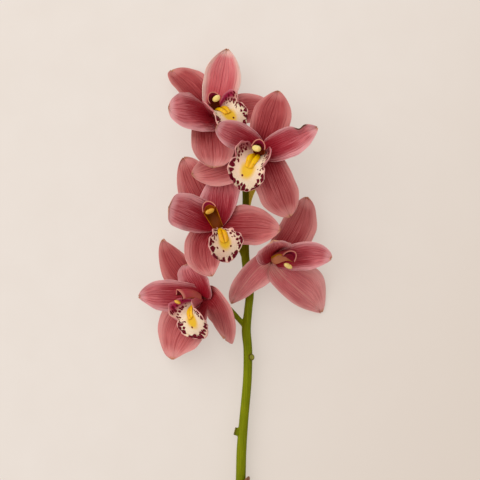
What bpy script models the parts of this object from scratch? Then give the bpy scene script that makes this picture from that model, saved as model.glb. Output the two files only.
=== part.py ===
# Mini cymbidium orchid stem: a cut flower spike with five open blooms, laid down on a surface.
# X runs across the stem, Y along it from the cut end to the top bloom, and Z up from the surface.
# The origin is on the surface, under the middle of the whole flower spike. Lengths are in metres.
from collections import namedtuple
from math import cos, log, pi, radians, sin

import bmesh
import bpy
from mathutils import Matrix, Vector

# Walls and gaps
TEPAL_WALL = 0.0009
LIP_WALL = 0.0008
BRACT_WALL = 0.0007
GAP = 0.0003
MERGE = 0.00001

# Stem: the rachis runs from the cut end, on the surface, to the node of the top bloom's pedicel
RACHIS_ROUTE = (
    (0.0010, -0.1733, 0.0030), (0.0018, -0.1300, 0.0042), (0.0034, -0.0730, 0.0055),
    (0.0039, -0.0553, 0.0060), (0.0052, -0.0381, 0.0065), (0.0072, -0.0152, 0.0071),
    (0.0075, 0.0020, 0.0076), (0.0066, 0.0134, 0.0079), (0.0077, 0.0249, 0.0082),
    (0.0086, 0.0375, 0.0085), (0.0060, 0.0564, 0.0089), (0.0064, 0.0840, 0.0092),
    (0.0060, 0.1000, 0.0094),
)
RACHIS_RADII = (
    0.0030, 0.0029, 0.0029, 0.0029, 0.0027, 0.0026, 0.0026, 0.0027, 0.0024, 0.0024, 0.0024, 0.0021,
    0.0018,
)
RACHIS_POINTS = 40
RACHIS_RESOLUTION = 4
PEDICEL_POINTS = 11
PEDICEL_RESOLUTION = 3
PEDICEL_RADII = (0.0014, 0.0015, 0.0017, 0.0019, 0.0019)
# Stubs of old pedicels: their foot on the rachis, their end and their radius
STUBS = (
    ((0.0047, -0.0460, 0.0063), (-0.0003, -0.0446, 0.0066), 0.0023),
    ((0.0075, -0.0028, 0.0073), (0.0099, -0.0018, 0.0107), 0.0020),
)
# Bract: a dry sheath that clasps the rachis, from its foot to its free tip
BRACT_FOOT = -0.098
BRACT_TIP = -0.0702
BRACT_SIDE = 35.0
BRACT_CLASP = 105.0
BRACT_STAND_OFF = 0.0018
BRACT_TAPER = 1.5
BRACT_ROUND = 0.6

# Blooms: the column stands on the receptacle, the petals lie just behind it and the sepals behind them
RECEPTACLE_DEPTH = 0.0036
SEPAL_DEPTH = 0.0026
PETAL_DEPTH = 0.0010
BASE_REACH = 0.0024
CLAW_SHARE = 0.17
TIP_SHARE = 0.03
# A midrib's two guide points: how far out each lies, and how much more the second one is bent
FIRST_GUIDE = 0.28
SECOND_GUIDE = 0.66
SECOND_BEND = 1.7
# The shares of a tepal's length over which its roll and its cup come in, and the waves along it
ROLL_END = 0.6
CUP_START = 0.1
CUP_END = 0.6
TEPAL_WAVES = 2.5
TEPAL_COLUMNS = 6
TEPAL_ROWS = 9
LIP_COLUMNS = 14
LIP_ROWS = 12
# The share of a length over which a direction along a curve is read
STEP = 0.01
# The way each tepal leaves the heart, in degrees from the dorsal sepal, clockwise as seen from the front
FAN = {
    "dorsal_sepal": 0.0,
    "petal_right": 60.0,
    "petal_left": -60.0,
    "lateral_sepal_right": 128.0,
    "lateral_sepal_left": -128.0,
}

# A tepal: where its tip is from the bloom's heart, its width, how far its middle bows to the front and
# sways to its side, the angles of its roll and cup, the share by which one side is wider, how far along
# it is widest, how pointed its end is, and the height of its waves
Tepal = namedtuple("Tepal", "tip width bow sway roll cup lean belly point wave",
                   defaults=(0.0, 0.0, 0.0, 8.0, 0.0, 0.57, 0.55, 0.0003))
# A lip: how far it drops from the facing direction and turns aside, in degrees, and its relative size
Lip = namedtuple("Lip", "drop turn scale")
# A bloom: its heart, the ways that its face and its dorsal sepal point, the route of its pedicel up to
# the receptacle, and how far its column leans back, in degrees
Bloom = namedtuple("Bloom", "heart facing dorsal pedicel lift lip tepals")

BLOOMS = {
    "a": Bloom(
        heart=(-0.0122, 0.1370, 0.0200),
        facing=(0.18, 0.44, 0.88),
        dorsal=(-0.72, 0.69, -0.45),
        pedicel=((0.0060, 0.0990, 0.0094), (0.0020, 0.1120, 0.0096), (-0.0060, 0.1240, 0.0094),
                 (-0.0112, 0.1315, 0.0110)),
        lift=0,
        lip=Lip(drop=0, turn=18, scale=1.0),
        tepals={
            "dorsal_sepal": Tepal((-0.0252, 0.0272, -0.0194), 0.0215, 0.003, lean=0.22, belly=0.60),
            "petal_right": Tepal((0.0079, 0.0359, -0.0030), 0.0215, 0.002, belly=0.60, point=0.50),
            "petal_left": Tepal((-0.0243, 0.0003, 0.0200), 0.0245, 0.004, sway=-0.002, belly=0.62,
                                point=0.50),
            "lateral_sepal_right": Tepal((0.0330, 0.0010, -0.0060), 0.0220, 0.002),
            "lateral_sepal_left": Tepal((-0.0003, -0.0315, 0.0180), 0.0250, 0.003, belly=0.66,
                                        point=0.42),
        },
    ),
    "b": Bloom(
        heart=(0.0142, 0.1140, 0.0380),
        facing=(-0.20, 0.00, 0.98),
        dorsal=(0.27, 0.96, 0.00),
        pedicel=((0.0068, 0.0780, 0.0092), (0.0098, 0.0887, 0.0100), (0.0140, 0.1020, 0.0135),
                 (0.0156, 0.1125, 0.0240)),
        lift=0,
        lip=Lip(drop=0, turn=0, scale=1.0),
        tepals={
            "dorsal_sepal": Tepal((0.0103, 0.0332, -0.0020), 0.0235, 0.001, belly=0.62, point=0.60),
            "petal_right": Tepal((0.0309, 0.0125, 0.0020), 0.0165, 0.004, lean=0.20, belly=0.52),
            "petal_left": Tepal((-0.0238, 0.0121, 0.0120), 0.0155, 0.002),
            "lateral_sepal_right": Tepal((0.0166, -0.0362, -0.0110), 0.0225, 0.003, belly=0.68,
                                         point=0.42),
            "lateral_sepal_left": Tepal((-0.0383, -0.0126, -0.0080), 0.0200, -0.002, lean=-0.15,
                                        belly=0.60),
        },
    ),
    "c": Bloom(
        heart=(-0.0099, 0.0728, 0.0270),
        facing=(0.06, 0.27, 0.96),
        dorsal=(-0.42, 0.90, -0.20),
        pedicel=((0.0064, 0.0520, 0.0089), (0.0030, 0.0600, 0.0094), (-0.0040, 0.0665, 0.0112),
                 (-0.0090, 0.0700, 0.0165)),
        lift=25,
        lip=Lip(drop=0, turn=-7, scale=1.02),
        tepals={
            "dorsal_sepal": Tepal((-0.0186, 0.0384, -0.0090), 0.0190, 0.001),
            "petal_right": Tepal((0.0079, 0.0280, -0.0020), 0.0210, 0.001),
            "petal_left": Tepal((-0.0264, 0.0086, 0.0170), 0.0235, 0.002, sway=0.002, lean=-0.15,
                                belly=0.64),
            "lateral_sepal_right": Tepal((0.0354, -0.0031, 0.0010), 0.0235, 0.001, lean=-0.08),
            "lateral_sepal_left": Tepal((-0.0027, -0.0278, 0.0090), 0.0220, 0.001, sway=0.0035,
                                        lean=0.10),
        },
    ),
    "d": Bloom(
        heart=(-0.0189, 0.0324, 0.0220),
        facing=(-0.70, -0.14, 0.70),
        dorsal=(-0.55, 0.80, -0.20),
        pedicel=((0.0066, 0.0140, 0.0079), (0.0036, 0.0182, 0.0084), (-0.0050, 0.0275, 0.0105),
                 (-0.0125, 0.0334, 0.0162)),
        lift=0,
        lip=Lip(drop=0, turn=-4, scale=1.04),
        tepals={
            "dorsal_sepal": Tepal((-0.0219, 0.0330, -0.0080), 0.0215, -0.001, sway=-0.003),
            "petal_right": Tepal((-0.0060, 0.0199, 0.0060), 0.0230, 0.000, lean=-0.12),
            "petal_left": Tepal((-0.0350, 0.0005, -0.0020), 0.0195, 0.003, belly=0.60),
            "lateral_sepal_right": Tepal((0.0162, -0.0255, -0.0110), 0.0225, 0.002, sway=-0.0055,
                                         roll=-12, cup=50),
            "lateral_sepal_left": Tepal((-0.0161, -0.0352, -0.0100), 0.0245, 0.002, sway=0.004,
                                        belly=0.62, point=0.48),
        },
    ),
    "e": Bloom(
        heart=(0.0222, 0.0526, 0.0200),
        facing=(0.50, -0.10, 0.86),
        dorsal=(0.43, 0.89, -0.14),
        pedicel=((0.0084, 0.0330, 0.0084), (0.0100, 0.0400, 0.0088), (0.0135, 0.0480, 0.0093),
                 (0.0184, 0.0528, 0.0122)),
        lift=-5,
        lip=None,
        tepals={
            "dorsal_sepal": Tepal((0.0178, 0.0368, -0.0060), 0.0235, 0.003, sway=0.001, lean=0.10),
            "petal_right": Tepal((0.0315, 0.0024, 0.0060), 0.0165, 0.003, sway=-0.003),
            "petal_left": Tepal((-0.0005, 0.0075, 0.0280), 0.0210, 0.002, roll=38, point=0.48),
            "lateral_sepal_right": Tepal((0.0271, -0.0292, -0.0196), 0.0235, 0.003, sway=-0.003,
                                         belly=0.58, point=0.60),
            "lateral_sepal_left": Tepal((-0.0243, -0.0228, -0.0060), 0.0185, 0.003, sway=0.0025),
        },
    ),
}

# The column, in the bloom's own axes (right, dorsal, out): the route of its middle, its radius, and how
# far its underside is hollowed and its upper rim stands forward
COLUMN_ROUTE = ((0.0, 0.0012, 0.0000), (0.0, 0.0020, 0.0045), (0.0, 0.0024, 0.0095),
                (0.0, 0.0016, 0.0140))
COLUMN_RADII = (0.0016, 0.0030, 0.0037, 0.0029)
COLUMN_HOLLOW = 0.70
HOLLOW_START = 0.1
HOLLOW_END = 0.7
COLUMN_RIM = 0.0012
RIM_START = 0.5
LEAN_END = 0.5
COLUMN_SIDES = 12
COLUMN_RINGS = 7
CAP_PLACE = (0.0, 0.0004, 0.0140)
CAP_SIZE = (0.0023, 0.0016, 0.0013)
CAP_SIDES = 10
CAP_RINGS = 6
# The lip, in the same axes: the route of its middle line, its half-width along the surface, the angle
# to which each side curls round the column, from its foot to its end, and how far its end is rounded
LIP_ROUTE = ((0.0, -0.0020, 0.0004), (0.0, -0.0040, 0.0070), (0.0, -0.0078, 0.0118),
             (0.0, -0.0148, 0.0128), (0.0, -0.0225, 0.0095))
LIP_HALVES = (0.0026, 0.0118, 0.0122, 0.0108, 0.0080)
LIP_CURLS = (60.0, 80.0, 62.0, 14.0, -10.0)
LIP_ROUND = 0.17
LIP_RUFFLE = 0.0008
LIP_RUFFLES = 3.5
LIP_FRINGE = 0.85
# The callus: two ridges side by side along the middle of the lip, with the share of their height and
# width that is left in the groove and at the ends, and how far out their crests lie
CALLUS_START = 0.10
CALLUS_END = 0.57
CALLUS_SHARE = 0.28
CALLUS_HEIGHT = 0.0013
CALLUS_GROOVE = 0.35
CALLUS_CREST = 0.9
CALLUS_BLUNT = 0.09
CALLUS_SIDES = 12
CALLUS_RINGS = 6

COLOURS = {
    "sepal": (0.33, 0.09, 0.08),
    "petal": (0.42, 0.09, 0.10),
    "lip": (0.72, 0.50, 0.34),
    "callus": (0.80, 0.42, 0.02),
    "column": (0.45, 0.12, 0.12),
    "cap": (0.80, 0.66, 0.30),
    "stem": (0.13, 0.20, 0.01),
    "bract": (0.45, 0.22, 0.08),
}


def clear_scene():
    for old in list(bpy.data.objects):
        bpy.data.objects.remove(old, do_unlink=True)


def make_material(name, colour, roughness):
    material = bpy.data.materials.new(name)
    material.use_nodes = True
    shader = material.node_tree.nodes["Principled BSDF"]
    shader.inputs["Base Color"].default_value = (*colour, 1.0)
    shader.inputs["Roughness"].default_value = roughness
    shader.inputs["Metallic"].default_value = 0.0
    return material


def add_object(name, mesh, kind, roughness=0.5):
    piece = bpy.data.objects.new(name, mesh)
    piece.data.materials.append(make_material(name, COLOURS[kind], roughness))
    spike.objects.link(piece)
    return piece


def ramp(value, start, end):
    share = min(max((value - start) / (end - start), 0.0), 1.0)
    return share * share * (3.0 - 2.0 * share)


def shaped_grid(name, columns, rows, place, wall, kind):
    """A blade: a flat grid whose points go where place(across, along) says, with a wall."""
    shape = bmesh.new()
    bmesh.ops.create_grid(shape, x_segments=columns, y_segments=rows, size=1.0)
    for vert in shape.verts:
        vert.co = place(vert.co.x, 0.5 + 0.5 * vert.co.y)
    bmesh.ops.triangulate(shape, faces=shape.faces)
    mesh = bpy.data.meshes.new(name)
    shape.to_mesh(mesh)
    shape.free()
    mesh.shade_smooth()
    piece = add_object(name, mesh, kind)
    solidify = piece.modifiers.new("Wall", "SOLIDIFY")
    solidify.thickness = wall
    solidify.offset = 0.0
    return piece


def shaped_rod(name, sides, rings, place, kind):
    """A fleshy body: a capped cylinder whose points go where place(angle, along) says."""
    shape = bmesh.new()
    bmesh.ops.create_cone(
        shape, cap_ends=True, segments=sides, radius1=1.0, radius2=1.0, depth=2.0)
    uprights = [edge for edge in shape.edges if abs(edge.verts[0].co.z - edge.verts[1].co.z) > 1.0]
    bmesh.ops.subdivide_edges(shape, edges=uprights, cuts=rings - 1, use_grid_fill=True)
    for vert in shape.verts:
        angle = Vector((vert.co.x, vert.co.y)).angle_signed(Vector((1.0, 0.0)))
        vert.co = place(angle, 0.5 + 0.5 * vert.co.z)
    bmesh.ops.triangulate(shape, faces=shape.faces)
    mesh = bpy.data.meshes.new(name)
    shape.to_mesh(mesh)
    shape.free()
    mesh.shade_smooth()
    return add_object(name, mesh, kind)


def bloom_axes(bloom):
    """The bloom's own axes as columns: to its right, to its dorsal sepal and out of its face."""
    facing = Vector(bloom.facing).normalized()
    dorsal = Vector(bloom.dorsal)
    dorsal = (dorsal - facing * dorsal.dot(facing)).normalized()
    return Matrix((dorsal.cross(facing), dorsal, facing)).transposed()


def smooth_value(values, along):
    """A value read from a smooth curve (Catmull-Rom) through equally spaced ones."""
    last = len(values) - 1
    place = min(max(along, 0.0), 1.0) * last
    index = min(int(place), last - 1)
    part = place - index
    here, there = values[index], values[index + 1]
    before = values[index - 1] if index > 0 else 2 * here - there
    after = values[index + 2] if index < last - 1 else 2 * there - here
    return 0.5 * (2 * here + (there - before) * part
                  + (2 * before - 5 * here + 4 * there - after) * part ** 2
                  + (3 * here - before - 3 * there + after) * part ** 3)


def smooth_point(points, along):
    return Vector([smooth_value([point[axis] for point in points], along) for axis in range(3)])


def tepal_profile(tepal, along):
    """Half-width of a tepal, as a share of half its full width: a narrow claw and a pointed end."""
    claw = CLAW_SHARE * (1.0 - along) ** 2 + TIP_SHARE
    if not 0.0 < along < 1.0:
        return claw
    return max(sin(pi * along ** (log(0.5) / log(tepal.belly))) ** tepal.point, claw)


def tepal_place(bloom, part):
    """The surface of a tepal: a midrib that fans out of the heart, with a cupped section across it."""
    tepal = bloom.tepals[part]
    depth = PETAL_DEPTH if part.startswith("petal") else SEPAL_DEPTH
    right, dorsal, facing = bloom_axes(bloom).col
    heart = Vector(bloom.heart)
    outward = dorsal * cos(radians(FAN[part])) + right * sin(radians(FAN[part]))
    base = heart - facing * depth + outward * BASE_REACH
    tip = heart + Vector(tepal.tip)
    reach = (tip - base).length
    side = (tip - base).cross(facing).normalized()
    bend = facing * tepal.bow + side * tepal.sway
    guides = (base, base + outward * FIRST_GUIDE * reach + bend,
              base.lerp(tip, SECOND_GUIDE) + SECOND_BEND * bend, tip)

    def midrib(along):
        rest = 1.0 - along
        return (guides[0] * rest ** 3 + guides[1] * 3 * rest ** 2 * along
                + guides[2] * 3 * rest * along ** 2 + guides[3] * along ** 3)

    def place(across, along):
        tangent = (midrib(along + STEP) - midrib(along - STEP)).normalized()
        flat = tangent.cross(facing).normalized()
        front = flat.cross(tangent)
        roll = radians(tepal.roll) * ramp(along, 0.0, ROLL_END)
        across_way = flat * cos(roll) + front * sin(roll)
        front_way = front * cos(roll) - flat * sin(roll)
        half = 0.5 * tepal.width * tepal_profile(tepal, along) * (1.0 + tepal.lean * across)
        out, rise = curl(across, half, radians(tepal.cup) * ramp(along, CUP_START, CUP_END))
        rise += tepal.wave * across * across * sin(2.0 * pi * TEPAL_WAVES * along + pi * across)
        return midrib(along) + across_way * out + front_way * rise

    return place


def curl(across, half, angle):
    """How far out and up a point lies on a surface that curls to an angle at its edges."""
    if abs(angle) < STEP:
        return across * half, 0.0
    return half / angle * sin(across * angle), half / angle * (1.0 - cos(across * angle))


def lip_place(bloom):
    """The surface of a lip; lift raises a point off it."""
    frame = bloom_axes(bloom) @ Matrix.Rotation(radians(bloom.lip.turn), 3, "Z") @ \
        Matrix.Rotation(radians(bloom.lip.drop), 3, "X")
    heart = Vector(bloom.heart)
    out_way = Vector((1.0, 0.0, 0.0))

    def place(across, along, lift=0.0):
        half = smooth_value(LIP_HALVES, along)
        down = along * (1.0 - LIP_ROUND * across * across)
        middle = smooth_point(LIP_ROUTE, down)
        tangent = smooth_point(LIP_ROUTE, down + STEP) - smooth_point(LIP_ROUTE, down - STEP)
        up_way = tangent.normalized().cross(out_way)
        angle = radians(smooth_value(LIP_CURLS, down))
        out, rise = curl(across, half, angle)
        edge = abs(across) ** 3 + ramp(along, LIP_FRINGE, 1.0)
        rise += LIP_RUFFLE * edge * sin(2.0 * pi * (LIP_RUFFLES * along + across))
        tilt = angle * across
        out -= lift * sin(tilt)
        rise += lift * cos(tilt)
        return heart + frame @ (bloom.lip.scale * (middle + out_way * out + up_way * rise))

    return place


def callus_place(bloom):
    surface = lip_place(bloom)

    def place(angle, along):
        share = cos(angle)
        rounded = sin(pi * (CALLUS_BLUNT + (1.0 - 2.0 * CALLUS_BLUNT) * along))
        crests = CALLUS_GROOVE + (1.0 - CALLUS_GROOVE) * sin(pi * abs(share) * CALLUS_CREST)
        width = CALLUS_SHARE * (CALLUS_GROOVE + (1.0 - CALLUS_GROOVE) * rounded)
        height = CALLUS_HEIGHT * crests * (max(sin(angle), 0.0) * rounded) ** 0.5
        lift = 0.5 * LIP_WALL + GAP + height
        return surface(width * share, CALLUS_START + (CALLUS_END - CALLUS_START) * along, lift)

    return place


def lean_back(bloom, along):
    return bloom_axes(bloom) @ Matrix.Rotation(-radians(bloom.lift) * ramp(along, 0.0, LEAN_END), 3, "X")


def column_place(bloom):
    heart = Vector(bloom.heart)
    out_way = Vector((1.0, 0.0, 0.0))

    def place(angle, along):
        middle = smooth_point(COLUMN_ROUTE, along)
        tangent = smooth_point(COLUMN_ROUTE, along + STEP) - smooth_point(COLUMN_ROUTE, along - STEP)
        tangent.normalize()
        up_way = tangent.cross(out_way)
        radius = smooth_value(COLUMN_RADII, along)
        out, rise = cos(angle), sin(angle)
        if rise < 0.0:
            rise *= 1.0 - (1.0 + COLUMN_HOLLOW) * ramp(along, HOLLOW_START, HOLLOW_END) * (1.0 - out ** 4)
        middle += tangent * COLUMN_RIM * max(rise, 0.0) * ramp(along, RIM_START, 1.0)
        return heart + lean_back(bloom, along) @ (middle + radius * (out * out_way + rise * up_way))

    return place


def make_cap(letter, bloom):
    """The anther cap: a rounded shell under the rim of the column's end."""
    shape = bmesh.new()
    bmesh.ops.create_uvsphere(shape, u_segments=CAP_SIDES, v_segments=CAP_RINGS, radius=1.0)
    frame = lean_back(bloom, 1.0)
    for vert in shape.verts:
        local = Vector([size * value for size, value in zip(CAP_SIZE, vert.co)])
        vert.co = Vector(bloom.heart) + frame @ (Vector(CAP_PLACE) + local)
    bmesh.ops.triangulate(shape, faces=shape.faces)
    mesh = bpy.data.meshes.new(f"bloom_{letter}_anther_cap")
    shape.to_mesh(mesh)
    shape.free()
    mesh.shade_smooth()
    add_object(f"bloom_{letter}_anther_cap", mesh, "cap")


def make_bloom(letter, bloom):
    name = f"bloom_{letter}"
    for part in bloom.tepals:
        shaped_grid(f"{name}_{part}", TEPAL_COLUMNS, TEPAL_ROWS, tepal_place(bloom, part),
                    TEPAL_WALL, "petal" if "petal" in part else "sepal")
    shaped_rod(f"{name}_column", COLUMN_SIDES, COLUMN_RINGS, column_place(bloom), "column")
    make_cap(letter, bloom)
    if bloom.lip:
        shaped_grid(f"{name}_lip", LIP_COLUMNS, LIP_ROWS, lip_place(bloom), LIP_WALL, "lip")
        shaped_rod(f"{name}_callus", CALLUS_SIDES, CALLUS_RINGS, callus_place(bloom), "callus")


def tube(name, points, radii, count, resolution):
    """A capped, tapering tube along a smooth curve through the points, as a welded mesh object."""
    data = bpy.data.curves.new(name, "CURVE")
    data.dimensions = "3D"
    data.bevel_depth = 1.0
    data.bevel_resolution = resolution
    data.use_fill_caps = True
    spline = data.splines.new("POLY")
    spline.points.add(count - 1)
    for index, point in enumerate(spline.points):
        along = index / (count - 1)
        point.co = (*smooth_point(points, along), 1.0)
        point.radius = smooth_value(radii, along)
    curve = bpy.data.objects.new(name, data)
    bpy.context.scene.collection.objects.link(curve)
    graph = bpy.context.evaluated_depsgraph_get()
    mesh = bpy.data.meshes.new_from_object(curve.evaluated_get(graph))
    bpy.data.objects.remove(curve)
    shape = bmesh.new()
    shape.from_mesh(mesh)
    bmesh.ops.remove_doubles(shape, verts=shape.verts, dist=MERGE)
    bmesh.ops.recalc_face_normals(shape, faces=shape.faces)
    shape.to_mesh(mesh)
    shape.free()
    return bpy.data.objects.new(name, mesh)


def make_stem():
    """The rachis with its pedicels and stubs, grown as one piece."""
    branches = bpy.data.collections.new("stem_branches")
    bpy.context.scene.collection.children.link(branches)
    for letter, bloom in BLOOMS.items():
        facing = bloom_axes(bloom).col[2]
        end = Vector(bloom.heart) - facing * RECEPTACLE_DEPTH
        route = (*bloom.pedicel, tuple(end))
        branches.objects.link(tube(f"pedicel_{letter}", route, PEDICEL_RADII, PEDICEL_POINTS,
                                   PEDICEL_RESOLUTION))
    for foot, end, radius in STUBS:
        branches.objects.link(tube("stub", (foot, end), (radius, radius), 2, PEDICEL_RESOLUTION))
    rachis = tube("stem", RACHIS_ROUTE, RACHIS_RADII, RACHIS_POINTS, RACHIS_RESOLUTION)
    bpy.context.scene.collection.objects.link(rachis)
    union = rachis.modifiers.new("Branches", "BOOLEAN")
    union.operation = "UNION"
    union.operand_type = "COLLECTION"
    union.collection = branches
    union.solver = "EXACT"
    graph = bpy.context.evaluated_depsgraph_get()
    mesh = bpy.data.meshes.new_from_object(rachis.evaluated_get(graph))
    for old in [rachis, *branches.objects]:
        bpy.data.objects.remove(old, do_unlink=True)
    bpy.data.collections.remove(branches)
    mesh.materials.clear()
    mesh.shade_smooth()
    add_object("stem", mesh, "stem")


def bract_place(across, along):
    """The bract: a sheath round the rachis, whose free tip stands off it."""
    length = BRACT_TIP - BRACT_FOOT
    y = BRACT_FOOT + length * along
    second, third = RACHIS_ROUTE[1:3]
    share = (y - second[1]) / (third[1] - second[1])
    middle = Vector(second).lerp(Vector(third), share)
    radius = RACHIS_RADII[1] + GAP + 0.5 * BRACT_WALL + BRACT_STAND_OFF * along ** 2
    width = TIP_SHARE + (1.0 - along ** BRACT_TAPER) ** BRACT_ROUND
    angle = radians(BRACT_SIDE + BRACT_CLASP * across * width)
    return Vector((middle.x + radius * cos(angle), y, middle.z + radius * sin(angle)))


clear_scene()
spike = bpy.data.collections.new("mini_cymbidium_orchid_stem")
bpy.context.scene.collection.children.link(spike)
make_stem()
shaped_grid("bract", TEPAL_COLUMNS, TEPAL_ROWS, bract_place, BRACT_WALL, "bract")
for bloom_letter, bloom_data in BLOOMS.items():
    make_bloom(bloom_letter, bloom_data)
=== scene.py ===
# %% [markdown]
# # A cut spike of mini cymbidium
#
# The flower spike lies on a pale table, and the camera looks down on it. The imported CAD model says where
# every piece is. This script gives the pieces their looks: each petal, lip and stalk is made again as a
# finer mesh on much the same route, and the CAD piece that it stands for is then hidden.

# %% Load the frame
from collections import namedtuple
from math import cos, exp, pi, radians, sin

import bpy
from mathutils import Matrix, Vector, noise


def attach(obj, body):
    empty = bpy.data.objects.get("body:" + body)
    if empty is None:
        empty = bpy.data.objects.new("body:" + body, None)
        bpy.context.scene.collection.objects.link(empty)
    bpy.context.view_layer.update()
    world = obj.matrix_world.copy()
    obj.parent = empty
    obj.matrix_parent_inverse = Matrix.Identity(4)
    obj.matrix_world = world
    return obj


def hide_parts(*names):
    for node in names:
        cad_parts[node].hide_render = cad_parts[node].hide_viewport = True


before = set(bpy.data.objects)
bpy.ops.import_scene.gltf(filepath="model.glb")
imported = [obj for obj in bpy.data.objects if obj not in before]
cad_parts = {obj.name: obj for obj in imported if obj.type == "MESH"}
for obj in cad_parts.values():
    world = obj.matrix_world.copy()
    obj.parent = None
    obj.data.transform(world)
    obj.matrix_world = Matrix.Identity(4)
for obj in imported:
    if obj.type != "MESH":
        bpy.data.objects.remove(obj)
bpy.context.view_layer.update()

# %% [markdown]
# ## Where the flowers are
#
# On the real spike each flower has its own place and looks its own way, so a few numbers for each one
# drive everything: its heart, the ways that its face and its upper sepal point, and the tip of each of its
# five petals and sepals. They began as the numbers that the CAD model is made from, in metres. Some were
# then fitted more closely to the photo, so a finer piece lies near its plain one, but not just on it.

# %% Walls, routes and blooms
TEPAL_WALL = 0.0009
LIP_WALL = 0.0008
BRACT_WALL = 0.0007
GAP = 0.0003

RACHIS_ROUTE = (
    (0.0010, -0.1733, 0.0030), (0.0018, -0.1300, 0.0042), (0.0034, -0.0730, 0.0055),
    (0.0039, -0.0553, 0.0060), (0.0052, -0.0381, 0.0065), (0.0072, -0.0152, 0.0071),
    (0.0075, 0.0020, 0.0076), (0.0066, 0.0134, 0.0079), (0.0077, 0.0249, 0.0082),
    (0.0086, 0.0375, 0.0085), (0.0060, 0.0564, 0.0089), (0.0064, 0.0840, 0.0092),
    (0.0060, 0.1000, 0.0094),
)
RACHIS_RADII = (
    0.0030, 0.0029, 0.0029, 0.0029, 0.0027, 0.0026, 0.0026, 0.0027, 0.0024, 0.0024, 0.0024, 0.0021,
    0.0018,
)
PEDICEL_RADII = (0.0014, 0.0015, 0.0017, 0.0022, 0.0034)
STUBS = (
    ((0.0047, -0.0460, 0.0063), (-0.0003, -0.0446, 0.0066), 0.0023),
    ((0.0075, -0.0028, 0.0073), (0.0099, -0.0018, 0.0107), 0.0020),
)

RECEPTACLE_DEPTH = 0.0028
SEPAL_DEPTH = 0.0026
PETAL_DEPTH = 0.0010
BASE_REACH = 0.0010
FAN = {
    "dorsal_sepal": 0.0,
    "petal_right": 60.0,
    "petal_left": -60.0,
    "lateral_sepal_right": 128.0,
    "lateral_sepal_left": -128.0,
}

Tepal = namedtuple("Tepal", "tip width bow sway roll cup lean belly point skew taper",
                   defaults=(0.0, 0.0, 0.0, 8.0, 0.0, 0.55, 0.80, 0.0, 0.0))
Lip = namedtuple("Lip", "drop turn roll scale left right callus", defaults=(0.60,))
Column = namedtuple("Column", "foot way scale tuck aside cap spin", defaults=(0.0,))
Bloom = namedtuple("Bloom", "heart facing dorsal pedicel column lip tepals")

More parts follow.
